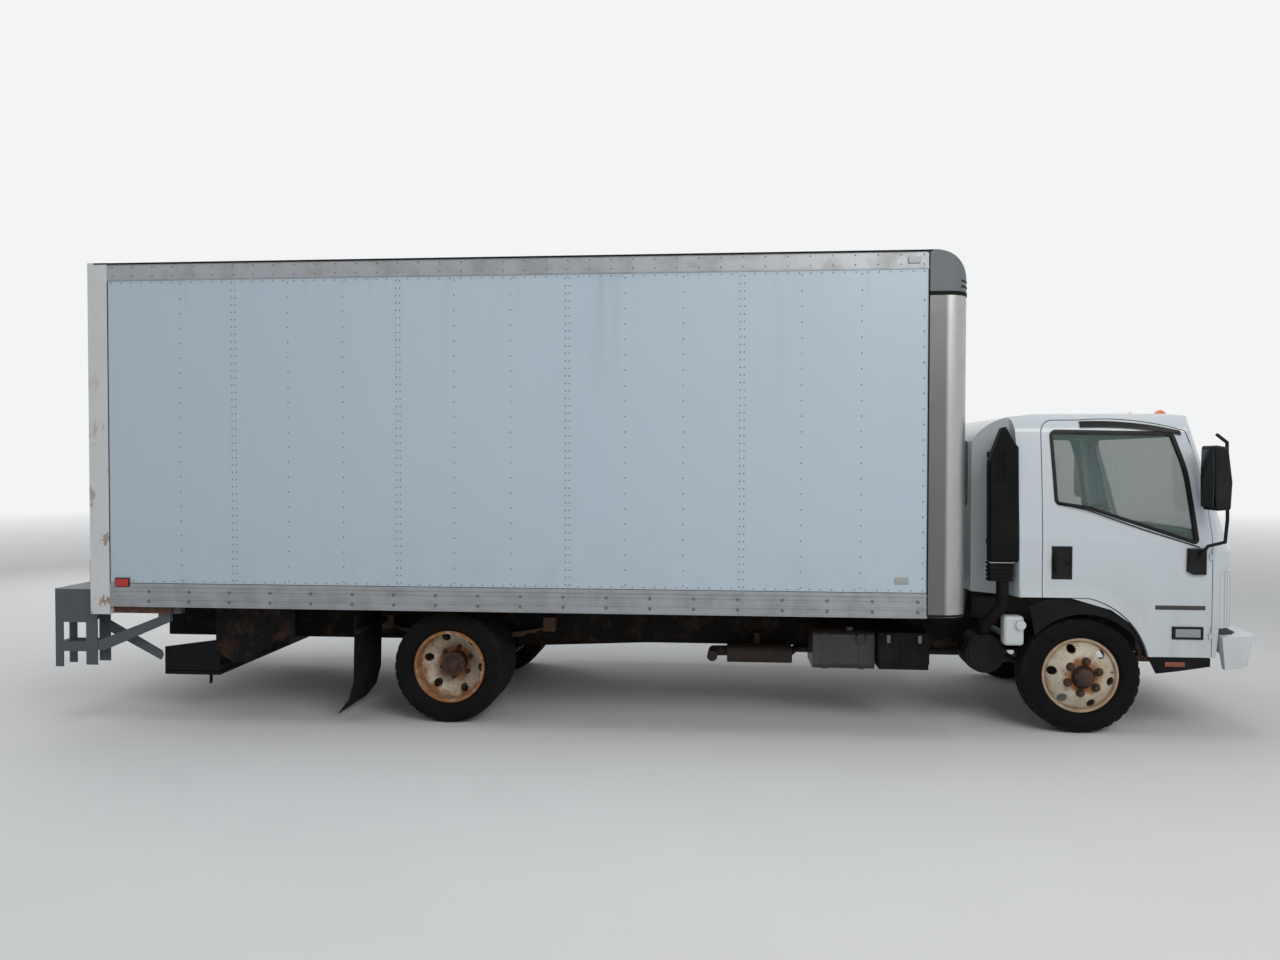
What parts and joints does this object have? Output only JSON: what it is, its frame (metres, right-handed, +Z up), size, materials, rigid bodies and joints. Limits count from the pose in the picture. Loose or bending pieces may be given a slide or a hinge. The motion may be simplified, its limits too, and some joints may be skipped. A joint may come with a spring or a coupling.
{
  "type": "box truck",
  "caption": "Cab-over box truck with a tilting cab, steered front wheels, twin rear wheels, hollow van body and a folded tail lift under the rear step.",
  "frame": {"origin": "on the ground, under the middle of the vehicle's overall box", "axes": "+X forward, +Y to the vehicle's left, +Z up"},
  "size_m": [8.605, 2.49, 3.325],
  "materials": {
    "cab_paint": "gloss",
    "body_paint": "gloss",
    "frame_paint": "satin",
    "grey_paint": "satin",
    "bare_aluminium": "brushed",
    "cast_steel": "rough",
    "tyre": "matte",
    "rim_paint": "satin",
    "black_plastic": "satin",
    "grey_plastic": "satin",
    "white_plastic": "satin",
    "lamp_plastic": "gloss",
    "clear_lamp": "gloss",
    "glass": "polished",
    "seat_fabric": "woven",
    "flap_rubber": "matte",
    "bright_steel": "brushed"
  },
  "bodies": {
    "chassis": {"frame_rails": "frame_paint", "crossmembers": "frame_paint", "front_axle": "cast_steel", "rear_axle": "cast_steel", "front_springs": "cast_steel", "rear_springs": "cast_steel", "engine": "cast_steel", "driveshaft": "cast_steel", "floor_bearers": "grey_paint", "load_floor": "grey_paint", "side_walls": "body_paint", "body_rails": "bare_aluminium", "roof": "bare_aluminium", "front_wall": "bare_aluminium", "front_cap": "grey_plastic", "rear_frame": "cab_paint", "roll_up_door": "body_paint", "rear_step": "grey_paint", "lift_frame": "frame_paint", "mud_flaps": "flap_rubber", "front_bumper": "cab_paint", "fuel_tank": "bare_aluminium", "battery_box": "grey_plastic", "exhaust": "bright_steel", "air_cleaner": "black_plastic", "expansion_tank": "white_plastic", "body_lamps": "lamp_plastic"},
    "knuckle_right": {"knuckle_right": "cast_steel"},
    "knuckle_left": {"knuckle_left": "cast_steel"},
    "tie_rod": {"tie_rod": "cast_steel"},
    "wheel_front_right": {"tyre_front_right": "tyre", "rim_front_right": "rim_paint", "hub_front_right": "cast_steel"},
    "wheel_front_left": {"tyre_front_left": "tyre", "rim_front_left": "rim_paint", "hub_front_left": "cast_steel"},
    "wheels_rear_right": {"tyres_rear_right": "tyre", "rims_rear_right": "rim_paint", "hub_rear_right": "cast_steel"},
    "wheels_rear_left": {"tyres_rear_left": "tyre", "rims_rear_left": "rim_paint", "hub_rear_left": "cast_steel"},
    "lift_arms": {"lift_arms": "frame_paint"},
    "lift_platform": {"lift_platform": "frame_paint"},
    "cab": {"cab_shell": "cab_paint", "cab_glass": "glass", "cab_underframe": "frame_paint", "cab_lamps": "clear_lamp", "cab_trim": "black_plastic", "dashboard": "grey_plastic", "seats": "seat_fabric", "snorkel": "black_plastic"},
    "steering_wheel": {"steering_wheel": "black_plastic"},
    "door_right": {"door_right": "cab_paint", "door_glass_right": "glass", "door_fittings_right": "black_plastic"},
    "door_left": {"door_left": "cab_paint", "door_glass_left": "glass", "door_fittings_left": "black_plastic"}
  },
  "joints": [
    {"name": "steer_right", "type": "hinge", "parent": "chassis", "child": "knuckle_right", "pos_m": [3.105, -0.74, 0.405], "axis": [0, 0, 1], "range_deg": [-35, 35]},
    {"name": "steer_left", "type": "hinge", "parent": "chassis", "child": "knuckle_left", "pos_m": [3.105, 0.74, 0.405], "axis": [0, 0, 1], "range_deg": [-35, 35]},
    {"name": "track_rod_end", "type": "hinge", "parent": "knuckle_right", "child": "tie_rod", "pos_m": [2.94, -0.74, 0.307], "axis": [0, 0, 1], "range_deg": [-35, 35]},
    {"name": "front_right_spin", "type": "hinge", "parent": "knuckle_right", "child": "wheel_front_right", "pos_m": [3.105, -0.832, 0.405], "axis": [0, 1, 0], "continuous": true},
    {"name": "front_left_spin", "type": "hinge", "parent": "knuckle_left", "child": "wheel_front_left", "pos_m": [3.105, 0.832, 0.405], "axis": [0, 1, 0], "continuous": true},
    {"name": "rear_right_spin", "type": "hinge", "parent": "chassis", "child": "wheels_rear_right", "pos_m": [-1.365, -0.825, 0.405], "axis": [0, 1, 0], "continuous": true},
    {"name": "rear_left_spin", "type": "hinge", "parent": "chassis", "child": "wheels_rear_left", "pos_m": [-1.365, 0.825, 0.405], "axis": [0, 1, 0], "continuous": true},
    {"name": "cab_tilt", "type": "hinge", "parent": "chassis", "child": "cab", "pos_m": [4.19, 0, 0.68], "axis": [0, 1, 0], "range_deg": [0, 45]},
    {"name": "steering_wheel_turn", "type": "hinge", "parent": "cab", "child": "steering_wheel", "pos_m": [3.625, 0.455, 1.4], "axis": [-0.4738, 0, 0.8806], "range_deg": [-560, 560]},
    {"name": "door_right_swing", "type": "hinge", "parent": "cab", "child": "door_right", "pos_m": [3.939, -1.003, 1.3], "axis": [0, 0, 1], "range_deg": [0, 70]},
    {"name": "door_left_swing", "type": "hinge", "parent": "cab", "child": "door_left", "pos_m": [3.939, 1.003, 1.3], "axis": [0, 0, -1], "range_deg": [0, 70]},
    {"name": "lift_swing", "type": "hinge", "parent": "chassis", "child": "lift_arms", "pos_m": [-3.045, 0, 0.4447], "axis": [0, -1, 0], "range_deg": [0, 35]},
    {"name": "platform_level", "type": "hinge", "parent": "lift_arms", "child": "lift_platform", "pos_m": [-3.535, 0, 0.3997], "axis": [0, -1, 0], "range_deg": [-35, 0]}
  ],
  "couplings": [
    {"joint": "steer_left", "follows": "steer_right", "ratio": 1},
    {"joint": "track_rod_end", "follows": "steer_right", "ratio": -1},
    {"joint": "steering_wheel_turn", "follows": "steer_right", "ratio": 16},
    {"joint": "platform_level", "follows": "lift_swing", "ratio": -1}
  ]
}
